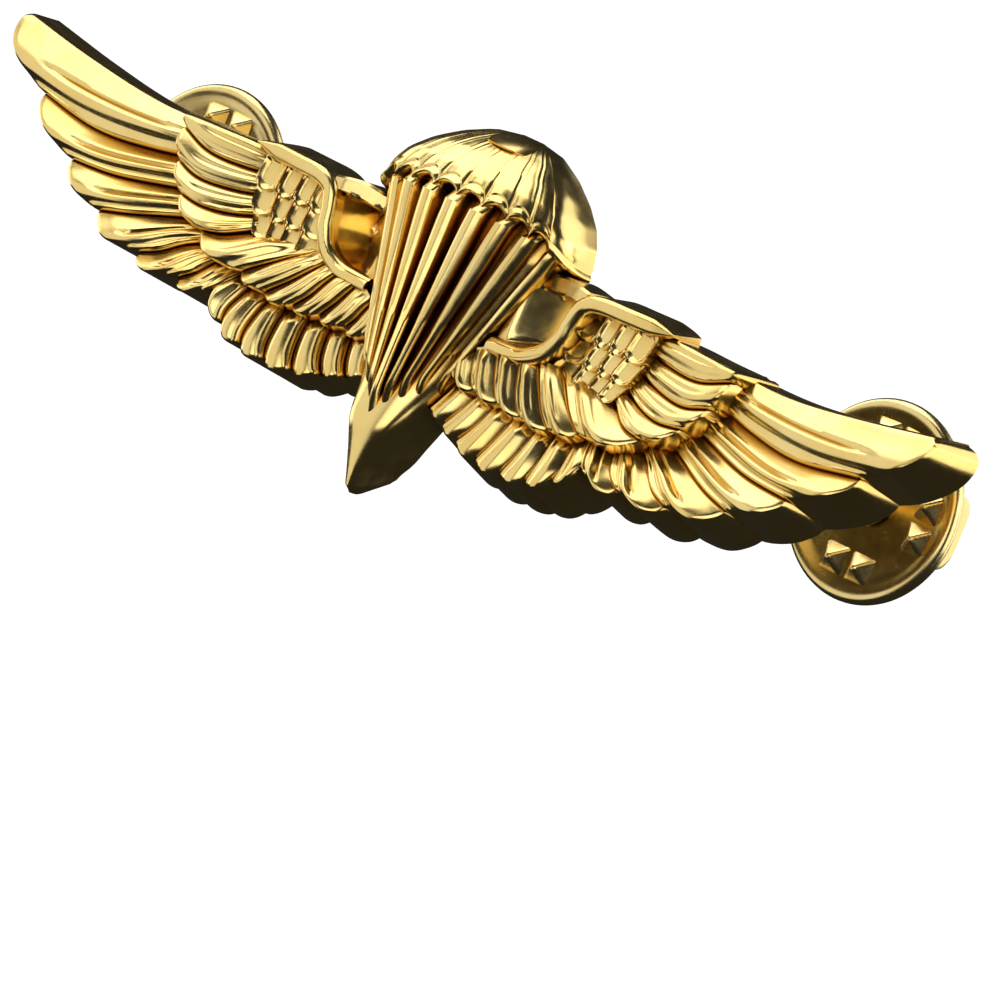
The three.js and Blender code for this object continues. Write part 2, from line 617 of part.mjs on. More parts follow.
// Wire bent nearly round the shell's inside, behind the jaws, open on one side.
function spring() {
  const radius = SHELL_INNER - SPRING_WIRE / 2 - RUNNING_GAP;
  const back = SHELL_FRONT + SHELL_DEPTH - SHELL_SHEET - SPRING_WIRE / 2 - RUNNING_GAP;
  const sweep = THREE.MathUtils.degToRad(SPRING_SWEEP);
  const points = [];
  for (let i = 0; i <= 24; i += 1) {
    const turn = Math.PI / 2 + (2 * Math.PI - sweep) / 2 + (sweep * i) / 24;
    points.push(new THREE.Vector3(radius * Math.cos(turn), back, radius * Math.sin(turn)));
  }
  const path = new THREE.CatmullRomCurve3(points);
  const section = new THREE.Shape();
  section.absarc(0, 0, SPRING_WIRE / 2, 0, 2 * Math.PI, false);
  const wire = new THREE.ExtrudeGeometry(section, { steps: 26, extrudePath: path, curveSegments: 4 });
  return toSolid(wire);
}

const model = new THREE.Group();

const badge = new THREE.Group();
badge.position.z = -POST_UP;
badge.add(toMesh('wings_casting', wingsSolid(), POLISHED));
badge.add(toMesh('parachute_emblem', parachuteSolid(), POLISHED));
model.add(badge);

for (const [side, sign] of [['left', -1], ['right', 1]]) {
  const stand = new THREE.Group();
  stand.position.x = sign * POST_OUT;
  stand.add(toMesh(`post_pad_${side}`, postPad(), STAMPED));
  stand.add(toMesh(`post_${side}`, post(), STAMPED));
  const clutch = new THREE.Group();
  clutch.position.y = CLUTCH_STANDOFF;
  clutch.add(toMesh(`clutch_${side}_disc`, clutchDisc(), STAMPED));
  clutch.add(toMesh(`clutch_${side}_eyelet`, eyelet(), STAMPED));
  clutch.add(toMesh(`clutch_${side}_back_shell`, backShell(), STAMPED));
  clutch.add(toMesh(`clutch_${side}_spring`, spring(), SPRING_GOLD));
  const inner = toMesh(`clutch_${side}_thumb_wing_left`, thumbWing(), STAMPED);
  inner.rotation.y = Math.PI;
  clutch.add(inner);
  clutch.add(toMesh(`clutch_${side}_thumb_wing_right`, thumbWing(), STAMPED));
  stand.add(clutch);
  model.add(stand);
}

export default model;
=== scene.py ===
import math

import bmesh
import bpy
import numpy as np
from mathutils import Matrix, Vector

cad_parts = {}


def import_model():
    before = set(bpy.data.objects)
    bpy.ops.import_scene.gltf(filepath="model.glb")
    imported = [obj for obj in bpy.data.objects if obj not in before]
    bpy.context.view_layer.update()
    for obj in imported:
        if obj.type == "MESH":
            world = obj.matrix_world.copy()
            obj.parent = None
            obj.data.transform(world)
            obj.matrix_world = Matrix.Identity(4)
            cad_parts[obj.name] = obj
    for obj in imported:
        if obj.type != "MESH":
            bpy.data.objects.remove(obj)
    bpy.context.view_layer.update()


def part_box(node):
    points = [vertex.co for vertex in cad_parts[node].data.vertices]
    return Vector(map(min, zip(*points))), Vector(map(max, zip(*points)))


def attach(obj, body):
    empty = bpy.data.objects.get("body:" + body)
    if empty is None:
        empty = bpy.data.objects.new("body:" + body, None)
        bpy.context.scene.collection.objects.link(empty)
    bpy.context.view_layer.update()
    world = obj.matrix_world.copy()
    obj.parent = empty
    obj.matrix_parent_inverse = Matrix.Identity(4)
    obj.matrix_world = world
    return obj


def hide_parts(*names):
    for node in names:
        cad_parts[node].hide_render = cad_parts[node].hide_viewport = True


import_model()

MM = 0.001


def middle(node, axis):
    low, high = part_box(node)
    return (low[axis] + high[axis]) / 2 / MM


def span(node, axis):
    low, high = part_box(node)
    return (high[axis] - low[axis]) / MM


# ---------- places taken from the frame, in millimetres ----------
POST_X = middle("post_right", 0)
POST_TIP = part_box("post_right")[1][1] / MM
POST_RADIUS = span("post_right", 0) / 2
DISC_RADIUS = span("clutch_right_disc", 0) / 2
RIM_RADIUS = 0.42
DISC_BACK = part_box("clutch_right_disc")[1][1] / MM
DISC_SHEET = 0.4
SHELL_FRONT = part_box("clutch_right_back_shell")[0][1] / MM
SHELL_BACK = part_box("clutch_right_back_shell")[1][1] / MM
SHELL_RADIUS = span("clutch_right_back_shell", 0) / 2
DATUM = 1.5  # the wing datum line stands this far above the posts


# ---------- curves and surfaces: x, height above the back face, z above the datum ----------
def spline(points, steps):
    """A smooth curve through the points, sampled at equal steps along it."""
    p = np.array(points, float)
    p = np.vstack([2 * p[0] - p[1], p, 2 * p[-1] - p[-2]])
    fine = []
    for a, b, c, d in zip(p, p[1:], p[2:], p[3:]):
        t = np.linspace(0, 1, 24, endpoint=False)[:, None]
        fine.append(0.5 * (2 * b + (c - a) * t + (2 * a - 5 * b + 4 * c - d) * t**2
                           + (3 * b - a - 3 * c + d) * t**3))
    fine = np.vstack([*fine, p[-2]])
    run = np.r_[0, np.cumsum(np.linalg.norm(np.diff(fine, axis=0), axis=1))]
    at = np.asarray(steps) * run[-1]
    return np.stack([np.interp(at, run, fine[:, k]) for k in range(p.shape[1])], 1)


def coons(upper, lower, root, end, s, t):
    """Grid of points between four edges; s runs from root to end, t from upper to lower."""
    s, t = s[:, None, None], t[None, :, None]
    flat = (1 - t) * upper[:, None] + t * lower[:, None] + (1 - s) * root[None] + s * end[None]
    corners = ((1 - s) * (1 - t) * upper[0] + s * (1 - t) * upper[-1]
               + (1 - s) * t * lower[0] + s * t * lower[-1])
    return flat - corners


def crowded(count):
    """Steps from 0 to 1 that crowd together at both ends."""
    k = np.linspace(0, 1, count + 1)
    return 0.45 * k + 0.55 * (0.5 - 0.5 * np.cos(math.pi * k))


def smoothstep(x, low=0.0, high=1.0):
    k = np.clip((np.asarray(x, float) - low) / (high - low), 0, 1)
    return k * k * (3 - 2 * k)


def shoulder(distance, radius, depth):
    """How far a rounded edge has dropped at a distance in from it."""
    k = 1 - np.clip(distance / radius, 0, 1)
    return depth * (1 - np.sqrt(np.clip(1 - k * k, 0, 1)))


def away(points, line):
    """Distance of each point of a grid from a line of points."""
    a, b = line[:-1], line[1:]
    along = b - a
    size = np.maximum((along**2).sum(1), 1e-12)
    offset = points[:, :, None] - a
    t = np.clip((offset * along).sum(-1) / size, 0, 1)
    return np.linalg.norm(offset - t[..., None] * along, axis=-1).min(-1)


def unit(v):
    return v / np.maximum(np.linalg.norm(v, axis=-1, keepdims=True), 1e-9)


class Solid:
    """Collects closed bodies and makes one mesh of them."""

    def __init__(self):
        self.points, self.faces, self.count = [], [], 0

    def add(self, points, faces):
        self.points.append(np.asarray(points, float))
        self.faces += [tuple(int(i) + self.count for i in face) for face in faces]
        self.count += len(points)

    def slab(self, flat, height, draft, base=0.0):
        """A closed body: a grid of (x, z) places with heights, drafted walls and a flat back."""
        rows, cols = height.shape
        index = np.arange(rows * cols).reshape(rows, cols)
        rim = np.r_[index[0, :-1], index[:-1, -1], index[-1, :0:-1], index[:0:-1, 0]]
        ring = flat.reshape(-1, 2)[rim]
        onward = unit(unit(ring - np.roll(ring, 1, 0)) + unit(np.roll(ring, -1, 0) - ring))
        outward = np.stack([onward[:, 1], -onward[:, 0]], 1)
        turn = ring[:, 0] * np.roll(ring[:, 1], -1) - np.roll(ring[:, 0], -1) * ring[:, 1]
        outward = outward * (1 if turn.sum() > 0 else -1)
        foot = ring + outward * draft(outward)[:, None]
        top = np.column_stack([flat[..., 0].ravel(), -height.ravel(), flat[..., 1].ravel()])
        back = np.column_stack([foot[:, 0], np.full(len(foot), base), foot[:, 1]])
        faces = []
        for i in range(rows - 1):
            for j in range(cols - 1):
                faces.append((index[i, j], index[i, j + 1], index[i + 1, j + 1], index[i + 1, j]))
        n, m = len(top), len(rim)
        for k in range(m):
            faces.append((rim[(k + 1) % m], rim[k], n + k, n + (k + 1) % m))
        faces.append(tuple(range(n, n + m)))
        self.add(np.vstack([top, back]), faces)

    def rings(self, rings, close=False, strips=False):
        """Rings of equal length skinned in order, with both ends filled, or joined.

        Strips fills an end that isn't flat, quad by quad, between the two halves of its ring."""
        n, m = len(rings[0]), len(rings)
        faces = []
        for k in range(m if close else m - 1):
            for i in range(n):
                j, up = (i + 1) % n, (k + 1) % m
                faces.append((k * n + i, k * n + j, up * n + j, up * n + i))
        if strips:
            for i in range(n // 2 - 1):
                quad = (i, i + 1, n - 2 - i, n - 1 - i)
                faces.append(quad[::-1])
                faces.append(tuple((m - 1) * n + k for k in quad))
        elif not close:
            faces.append(tuple(range(n))[::-1])
            faces.append(tuple(range((m - 1) * n, m * n)))
        self.add(np.vstack([np.asarray(ring, float) for ring in rings]), faces)

    def lathe(self, profile, segments=96, close=True):
        """A closed profile of (radius, y) turned about the Y axis."""
        rings = []
        for turn in np.linspace(0, 2 * math.pi, segments, endpoint=False):
            rings.append([(r * math.cos(turn), y, r * math.sin(turn)) for r, y in profile])
        self.rings(rings, close=close)

    def shift(self, x=0.0, y=0.0, z=0.0):
        self.points = [points + (x, y, z) for points in self.points]
        return self

    def turn(self, degrees):
        """Turns everything about the Y axis."""
        c, s = math.cos(math.radians(degrees)), math.sin(math.radians(degrees))
        spin = np.array([[c, 0, -s], [0, 1, 0], [s, 0, c]])
        self.points = [points @ spin for points in self.points]
        return self

    def stagger(self, step, start=0.0):
        """Sets each body's flat back a step further forward, so that no two backs share a plane."""
        for k, points in enumerate(self.points):
            points[:, 1] = np.minimum(points[:, 1], -start - step * k)
        return self

    def mesh(self, name):
        data = bpy.data.meshes.new(name)
        data.from_pydata((np.vstack(self.points) * MM).tolist(), [], self.faces)
        work = bmesh.new()
        work.from_mesh(data)
        bmesh.ops.remove_doubles(work, verts=work.verts, dist=1e-8)
        bmesh.ops.recalc_face_normals(work, faces=work.faces)
        work.to_mesh(data)
        work.free()
        return data


def piece(solid, name, body, material, nodes=(), angle=34):
    data = solid.mesh(name)
    obj = bpy.data.objects.new(name, data)
    bpy.context.scene.collection.objects.link(obj)
    data.materials.append(material)
    data.shade_smooth()
    data.set_sharp_from_angle(angle=math.radians(angle))
    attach(obj, body)
    if nodes:
        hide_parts(*nodes)
    return obj


# ---------- gold ----------
def node(tree, kind, at, inputs=None, **settings):
    made = tree.nodes.new(kind)
    made.location = (at[0] * 200, -at[1] * 200)
    for key, value in settings.items():
        setattr(made, key, value)
    for key, value in (inputs or {}).items():
        made.inputs[key].default_value = value
    return made


def ramp(tree, at, stops):
    made = node(tree, "ShaderNodeValToRGB", at)
    elements = made.color_ramp.elements
    for i, (place, colour) in enumerate(stops):
        stop = elements[i] if i < 2 else elements.new(place)
        stop.position = place
        stop.color = (*colour, 1)
    return made


PAINTED_SHADE_DEEPEST = (0.05, 0.03, 0.01)  # painted shade: what the colour is multiplied by in the deepest recesses


def gold(name, bright, deep, shadow, smooth, worn, grain=0.035):
    """Plated gold: cloudy colour, painted shade that darkens deep recesses through an ambient-occlusion term,
    fine polishing scratches and dull spots.
    """
    material = bpy.data.materials.new(name)
    material.use_nodes = True
    tree = material.node_tree
    tree.nodes.clear()
    link = tree.links.new
    place = node(tree, "ShaderNodeTexCoord", (0, 1))
    cloud = node(tree, "ShaderNodeTexNoise", (1, 0), {"Scale": 260, "Detail": 4, "Roughness": 0.55})
    stain = node(tree, "ShaderNodeTexNoise", (1, 1), {"Scale": 900, "Detail": 6, "Roughness": 0.65})
    stretch = node(tree, "ShaderNodeMapping", (1, 2))
    stretch.inputs["Scale"].default_value = (1, 1, 9)
    stretch.inputs["Rotation"].default_value = (0.2, 0.6, 0.3)
    scratch = node(tree, "ShaderNodeTexNoise", (2, 2), {"Scale": 1500, "Detail": 3, "Roughness": 0.6})
    colour = ramp(tree, (2, 0), [(0.32, deep), (0.68, bright)])
    # painted shade: an ambient-occlusion term darkens the colour in creases and recesses, down to the shadow
    # colour and then to the deepest recess colour
    painted_shade_occlusion = node(tree, "ShaderNodeAmbientOcclusion", (2, 1), {"Distance": 0.0009}, samples=6)
    depth = ramp(tree, (3, 1), [(0.06, PAINTED_SHADE_DEEPEST), (0.74, (1, 1, 1)), (0.42, shadow)])
    # the painted shade is multiplied into the cloudy base colour here
    painted_shade_multiply = node(tree, "ShaderNodeMix", (4, 0), data_type="RGBA", blend_type="MULTIPLY")
    painted_shade_multiply.inputs["Factor"].default_value = 0.95
    rough = node(tree, "ShaderNodeMapRange", (3, 3), {"From Min": 0.35, "From Max": 0.72,
                                                     "To Min": smooth, "To Max": worn})
    bump = node(tree, "ShaderNodeBump", (4, 3), {"Strength": grain, "Distance": 0.00004})
    shader = node(tree, "ShaderNodeBsdfPrincipled", (5, 1), {"Metallic": 1.0})
    output = node(tree, "ShaderNodeOutputMaterial", (6, 1))
    for noise in (cloud, stain):
        link(place.outputs["Object"], noise.inputs["Vector"])
    link(place.outputs["Object"], stretch.inputs["Vector"])
    link(stretch.outputs["Vector"], scratch.inputs["Vector"])
    link(cloud.outputs["Fac"], colour.inputs["Fac"])
    link(painted_shade_occlusion.outputs["AO"], depth.inputs["Fac"])
    link(colour.outputs["Color"], painted_shade_multiply.inputs["A"])
    link(depth.outputs["Color"], painted_shade_multiply.inputs["B"])
    link(stain.outputs["Fac"], rough.inputs["Value"])
    link(scratch.outputs["Fac"], bump.inputs["Height"])
    link(painted_shade_multiply.outputs["Result"], shader.inputs["Base Color"])
    link(rough.outputs["Result"], shader.inputs["Roughness"])
    link(bump.outputs["Normal"], shader.inputs["Normal"])
    link(shader.outputs["BSDF"], output.inputs["Surface"])
    return material


# the third colour of each gold is the painted shade colour in its recesses
POLISHED = gold("polished_gold", (1.0, 0.77, 0.31), (0.95, 0.67, 0.21), (0.6, 0.4, 0.1),
                0.17, 0.27, 0.02)
STAMPED = gold("stamped_gold", (1.0, 0.8, 0.37), (0.95, 0.71, 0.27), (0.64, 0.45, 0.15),
               0.2, 0.3, 0.03)
WIRE = gold("spring_gold", (0.93, 0.68, 0.28), (0.84, 0.56, 0.19), (0.5, 0.34, 0.1),
            0.2, 0.38, 0.05)

# ---------- wing layout, right wing, from the centre line outwards ----------
LONG_EDGES = [
    [(18.5, 2.2), (24, 2.2), (29, 2.75), (34.2, 3.6)],
    [(18.5, 0.5), (22.5, -0.35), (26.5, -0.7), (31, -0.05)],
    [(17.5, -1.1), (21, -1.95), (24, -2.55), (27.2, -2.75)],
    [(16.6, -2.3), (19.5, -3.3), (21.8, -4.1), (23.9, -4.65)],
    [(15.4, -3.2), (17.4, -4.2), (18.7, -5.2), (20.1, -5.8)],
    [(13.8, -3.4), (15.1, -4.4), (15.8, -5.4), (16.8, -6.15)],
    [(12.6, -3.6), (13.2, -4.5), (13.7, -5.4), (14.2, -6.05)],
]
LONG_ENDS = [
    [(34.6, 3.15), (34.3, 2.1), (32.9, 0.85)],
    [(30.8, -0.75), (29.8, -1.6), (28.4, -2.35)],
    [(27.0, -3.3), (26.1, -4.0), (25.0, -4.45)],
    [(23.5, -5.2), (22.5, -5.8), (21.2, -5.9)],
    [(19.8, -6.3), (19.0, -6.55), (17.9, -6.4)],
    [(16.4, -6.6), (15.7, -6.65), (14.9, -6.35)],
]
LONG_RISES = [(1.75, 3.0), (1.65, 3.1), (1.65, 3.25), (1.65, 3.4), (1.7, 3.4), (1.8, 3.35)]
COVERT_EDGES = [
    [(13.6, 2.3), (16, 2.4), (18.4, 2.35), (20.5, 2.35)],
    [(13.6, 1.3), (16, 0.9), (18.5, 0.85), (20.75, 1.6)],
    [(13.4, 0.25), (15.6, -0.4), (18.2, -0.7), (20.1, -0.2)],
    [(13.0, -0.8), (15.2, -1.65), (17.2, -2.0), (19.0, -1.8)],
    [(12.6, -1.4), (14.0, -2.2), (15.3, -2.9), (16.8, -3.2)],
    [(9.2, -1.6), (10.3, -2.4), (11.6, -3.4), (12.9, -4.35)],
    [(7.9, -1.7), (8.8, -2.8), (9.7, -3.8), (10.9, -4.85)],
    [(6.7, -1.8), (7.3, -2.8), (7.9, -3.9), (8.8, -4.9)],
    [(5.2, -1.9), (5.7, -2.9), (6.2, -3.8), (6.9, -4.75)],
    [(3.9, -2.6), (4.2, -3.3), (4.5, -4.0), (5.0, -4.7)],
    [(2.4, -3.0), (2.6, -3.5), (2.9, -4.0), (3.2, -4.5)],
]
COVERT_ENDS = [
    [(20.9, 2.2), (20.95, 1.95), (20.9, 1.8)],
    [(20.75, 1.0), (20.55, 0.5), (20.3, 0.1)],
    [(20.0, -0.7), (19.7, -1.1), (19.35, -1.5)],
    [(18.7, -2.3), (18.1, -2.8), (17.4, -3.1)],
    [(16.0, -3.9), (15.2, -4.25), (14.0, -4.4)],
    [(12.5, -4.7), (12.0, -4.85), (11.4, -4.85)],
    [(10.5, -5.05), (10.0, -5.15), (9.4, -5.05)],
    [(8.4, -5.05), (7.9, -5.05), (7.3, -4.9)],
    [(6.5, -4.95), (6.0, -5.0), (5.5, -4.85)],
    [(4.6, -4.95), (4.1, -4.95), (3.6, -4.7)],
]
COVERT_RISES = [(1.85, 2.85), (1.8, 3.0), (1.8, 3.15), (1.85, 3.3), (1.9, 3.3), (2.4, 3.25),
                (2.6, 3.2), (2.7, 3.1), (2.75, 3.0), (2.75, 2.9)]
SHORT_EDGES = [
    [(13.4, -4.2), (13.9, -5.0), (14.1, -5.6), (14.0, -6.1)],
    [(12.2, -4.4), (12.5, -5.4), (12.7, -6.4), (12.6, -7.25)],
    [(10.8, -4.6), (11.0, -5.8), (11.05, -7.0), (10.9, -7.9)],
    [(9.6, -4.6), (9.6, -5.8), (9.4, -7.1), (9.0, -8.1)],
    [(7.9, -4.6), (7.8, -5.8), (7.5, -7.0), (7.05, -8.0)],
    [(6.3, -4.5), (6.2, -5.6), (5.8, -6.7), (5.2, -7.55)],
    [(4.9, -4.4), (4.7, -5.3), (4.3, -6.3), (3.8, -7.1)],
    [(3.2, -4.2), (3.1, -5.0), (2.8, -5.9), (2.4, -6.6)],
]
SHORT_ENDS = [
    [(13.8, -6.6), (13.4, -7.05), (13.0, -7.3)],
    [(12.2, -7.75), (11.8, -8.0), (11.3, -8.05)],
    [(10.5, -8.25), (10.0, -8.35), (9.5, -8.3)],
    [(8.7, -8.35), (8.2, -8.45), (7.6, -8.3)],
    [(6.7, -8.2), (6.2, -8.15), (5.7, -7.9)],
    [(4.8, -7.6), (4.5, -7.55), (4.1, -7.35)],
    [(3.4, -7.1), (3.1, -7.0), (2.7, -6.8)],
]
SHORT_RISES = [(2.2, 3.35), (2.2, 3.3), (2.2, 3.2), (2.2, 3.1), (2.2, 2.95), (2.1, 2.75),
               (2.0, 2.55)]
SCALE_LINES = [2.15, 0.5, -0.85, -2.2]
SCALE_COLUMNS = [(9.3, 9.3, 8.9, 8.5), (10.9, 10.85, 10.7, 10.5), (12.05, 12.0, 11.85, 11.6),
                 (13.25, 13.15, 12.85, 12.55), (14.85, 14.75, 14.35, 13.6)]
BAND_LINE = [(15.7, 2.5), (14.6, 2.45), (12.5, 2.4), (10.6, 2.32), (9.6, 1.9), (9.15, 0.9),
             (8.9, -0.2), (8.2, -1.25), (7.0, -1.9), (5.8, -2.05), (4.6, -2.1)]
BAND_CRESTS = [2.55, 2.75, 2.9, 3.0, 3.1, 3.1, 3.05, 3.0, 2.95, 2.9, 2.85]
BAND_HALF_WIDTH = 0.5
WING_STEP, CHUTE_STEP = 0.003, 0.02  # between the flat backs of neighbouring bodies
UPPER_WALL = 0.9  # share of the spread that an upper edge goes without
SCALE_SPREAD, SADDLE_SPREAD = 0.12, 0.5
BRIDGE = ((-4.9, -1.2, -4.6), (4.9, 0.01, 1.6))  # bar that joins the wings behind the parachute
HOLLOW_START, HOLLOW_SLOPE, HOLLOW_TOP, HOLLOW_FLOOR = 5.2, 0.82, 2.2, 0.1
CANOPY_ROOF, CANOPY_PEAK, SKIRT_HEIGHT, CAVITY_SETBACK = 5.75, 8.66, 0.6, 0.1
TUCK = 0.1  # how far a feather dips under the one above it, as a share of its width
RIGHT_SPREAD, LEFT_SPREAD = 0.92, 0.42  # how far the back outline stands outside the front one
SADDLE_TOP = [(4.6, 2.75), (6.4, 2.8), (7.8, 2.95), (9.5, 2.7)]
SADDLE_BOTTOM = [(4.6, -2.3), (6.0, -2.25), (7.2, -1.95), (8.6, -1.2)]
SADDLE_OUTER = [(9.5, 2.7), (9.4, 1.2), (9.2, -0.2), (8.6, -1.2)]


def wall(spread):
    """The walls spread towards the back: little along upper edges, fully along lower ones."""
    return lambda outward: spread * (1 - UPPER_WALL * np.clip(outward[:, 1], 0, 1))


def feather(solid, upper, end, lower, rises, crown, vein, steps, spread, soft=0.3):
    s, t = crowded(steps[0]), crowded(steps[1])
    top, bottom = spline(upper, s), spline(lower, s)
    root = np.array(upper[0]) + t[:, None] * (np.array(lower[0]) - upper[0])
    tip = spline([upper[-1], *end, lower[-1]], t)
    flat = coons(top, bottom, root, tip, s, t)
    along, across = s[:, None], t[None]
    height = rises[0] + (rises[1] - rises[0]) * smoothstep(along, -0.15, 0.9)
    wide = np.linalg.norm(top[steps[0] * 2 // 3] - bottom[steps[0] * 2 // 3])
    arch = crown * wide * smoothstep(along, 0, 0.3)
    height = height + arch * (1 - (2 * across - 1) ** 2) - TUCK * wide * (1 - smoothstep(across, 0, 0.55))
    height = height - shoulder(away(flat, tip), soft, soft * 0.9)
    below = away(flat, bottom)
    height = height + 0.07 * np.exp(-(((below - 0.2) / 0.09) ** 2)) - shoulder(below, soft * 0.55, soft * 0.5)
    height = height - shoulder(away(flat, top), soft * 0.6, soft * 0.7)
    if vein:
        quill = flat[:, int(steps[1] * 0.42)]
        fade = smoothstep(along, 0.1, 0.3) * (1 - smoothstep(along, 0.66, 0.86))
        height = height - vein * fade * np.exp(-((away(flat, quill) / 0.12) ** 2))
        height = height - 0.35 * arch * np.exp(-(((across - 0.74) / 0.12) ** 2))
    solid.slab(flat, height, wall(spread))


def feathers(solid, edges, ends, rises, crown, vein, steps, spread):
    for i, end in enumerate(ends):
        feather(solid, edges[i], end, edges[i + 1], rises[i], crown, vein, steps, spread)


def scales(solid):
    """Small overlapping scales, each with a raised border round a shallow dish."""
    s, t = crowded(14), crowded(14)
    for row in range(len(SCALE_LINES) - 1):
        z0, z1 = SCALE_LINES[row], SCALE_LINES[row + 1]
        for left, right in zip(SCALE_COLUMNS, SCALE_COLUMNS[1:]):
            sag = 0.28 if row < 2 else 0.12
            a, b = (left[row], z0), (right[row], z0)
            c, d = (left[row + 1], z1), (right[row + 1], z1)
            low = ((c[0] + d[0]) / 2, z1 - sag)
            high = ((a[0] + b[0]) / 2, z0 - (0.05 if row else 0.0))
            flat = coons(spline([a, c], s), spline([b, d], s), spline([a, high, b], t),
                         spline([c, low, d], t), s, t)
            along, across = s[:, None], t[None]
            rise = 2.0 + 0.085 * (flat[..., 0] - 9) + 0.28 * smoothstep(along, 0, 0.9)
            inner = (1 - (2 * along - 1) ** 4) * (1 - (2 * across - 1) ** 4)
            edge = np.minimum.reduce([away(flat, flat[:, 0]), away(flat, flat[:, -1]),
                                      away(flat, flat[-1]), away(flat, flat[0])])
            height = rise - 0.22 * smoothstep(inner, 0.25, 0.9) - shoulder(edge, 0.2, 0.2)
            solid.slab(flat, height, lambda n: np.full(len(n), SCALE_SPREAD))


def band(solid):
    at = np.linspace(0, 1, 61)
    line = spline(BAND_LINE, at)
    crests = np.interp(at, np.linspace(0, 1, len(BAND_CRESTS)), BAND_CRESTS)
    onward = unit(np.gradient(line, axis=0))
    aside = np.stack([-onward[:, 1], onward[:, 0]], 1)
    half = BAND_HALF_WIDTH * np.sqrt(np.clip(at / 0.12, 0.03, 1))
    turns = np.linspace(0, math.pi, 15)
    rings = []
    for spot, side, crest, wide in zip(line, aside, crests, half):
        ring = [(*(spot + side * (wide + 0.25)), 0.0)]
        for turn in turns:
            ring.append((*(spot + side * wide * math.cos(turn)), crest - 0.5 + 0.5 * math.sin(turn) ** 0.7))
        ring.append((*(spot - side * (wide + 0.25)), 0.0))
        rings.append([(x, -h, z) for x, z, h in ring])
    solid.rings(rings)


def saddle(solid):
    """The hollow between the band and the parachute, under a flat rim."""
    s, t = np.linspace(0, 1, 27), np.linspace(0, 1, 35)
    top, bottom = spline(SADDLE_TOP, s), spline(SADDLE_BOTTOM, s)
    inner = np.array(SADDLE_TOP[0]) + t[:, None] * (np.array(SADDLE_BOTTOM[0]) - SADDLE_TOP[0])
    flat = coons(top, bottom, inner, spline(SADDLE_OUTER, t), s, t)
    x, z = flat[..., 0], flat[..., 1]
    hollow = np.clip(HOLLOW_TOP - HOLLOW_SLOPE * (x - HOLLOW_START), HOLLOW_FLOOR, HOLLOW_TOP)
    shelf = 2.75 - 0.3 * np.clip(9.0 - x, 0, 3)
    height = hollow + np.maximum(shelf - hollow, 0) * smoothstep(z, 1.75, 1.95)
    height = height + (2.3 - height) * smoothstep(-z, 0.7, 2.2)
    beside = away(flat, spline(BAND_LINE, np.linspace(0, 1, 60)))
    bank = 3.0 - 2.9 * np.clip((beside - 0.2) / 1.2, 0, 1)
    height = np.maximum(height, bank)
    height = height - shoulder(away(flat, top), 0.25, 0.2)
    solid.slab(flat, height, wall(SADDLE_SPREAD))


def bar(solid, low, high):
    """A plain closed box."""
    x, y, z = zip(low, high)
    rings = [[(a, y[0], z[0]), (a, y[1], z[0]), (a, y[1], z[1]), (a, y[0], z[1])] for a in x]
    solid.rings(rings)


def wing(spread):
    solid = Solid()
    feathers(solid, LONG_EDGES, LONG_ENDS, LONG_RISES, 0.14, 0.24, (40, 36), spread)
    feathers(solid, COVERT_EDGES, COVERT_ENDS, COVERT_RISES, 0.15, 0.08, (26, 26), spread)
    feathers(solid, SHORT_EDGES, SHORT_ENDS, SHORT_RISES, 0.2, 0.0, (30, 30), spread)
    scales(solid)
    band(solid)
    saddle(solid)
    return solid.stagger(WING_STEP)


def wings():
    solid = wing(RIGHT_SPREAD)
    left = wing(LEFT_SPREAD)
    solid.add(np.vstack(left.points) * (-1, 1, 1), [face[::-1] for face in left.faces])
    bar(solid, *BRIDGE)
    return solid.shift(z=DATUM)


# ---------- parachute ----------
# each table pairs z with a half width or with a height above the back face
CANOPY_OUTLINE = [(2.4, 7.15), (3.6, 7.1), (4.7, 6.8), (5.7, 6.25), (6.7, 5.25), (7.7, 3.85), (8.45, 2.3),
                  (8.66, 1.0)]
CANOPY_FRONT = [(2.4, 4.5), (5.1, 4.38), (6.0, 3.98), (7.0, 3.2), (7.5, 2.6), (8.2, 1.6), (8.66, 0.7)]
CONE_OUTLINE = [(-12.5, 0.2), (-12.0, 0.36), (-11, 0.66), (-10, 1.0), (-9, 1.38), (-7, 2.25), (-5, 3.3),
                (3.0, 6.35), (5.6, 6.3)]
CONE_FRONT = [(-12.5, 3.4), (-11, 3.8), (-9, 4.25), (-8.4, 4.27), (-7.5, 4.12), (-6.5, 3.9), (-5, 3.65),
              (-3, 3.5), (3.0, 3.45), (5.6, 3.0)]
LINE_TURN = math.radians(15.3)
LINES_EACH_SIDE = 4
LINE_TOPS = [(0.0, 4.82), (1.7, 4.74), (3.35, 4.42), (4.8, 3.7), (6.0, 2.45)]  # x and height at z 3
LINE_FEET = [(0.0, 4.64), (0.8, 4.48), (1.6, 4.2), (2.3, 3.8), (2.95, 3.1)]  # at z -5
LINE_TILTS = [0, 6, 14, 25, 48]  # degrees that each line's face turns away from the front
LINE_END = -8.7
LINE_SHORTER = 0.5  # each line ends this much higher than the one before it
GORE_LIFT = 0.6


def along_table(table, z):
    at, values = zip(*table)
    return np.interp(z, at, values)


def canopy_turns():
    gores = LINES_EACH_SIDE * LINE_TURN
    inner = np.linspace(-gores, gores, LINES_EACH_SIDE * 2 * 14 + 1)
    side = gores + (math.pi / 2 - gores) * np.sin(np.linspace(0, math.pi / 2, 13))[1:]
    return np.r_[-side[::-1], inner, side]


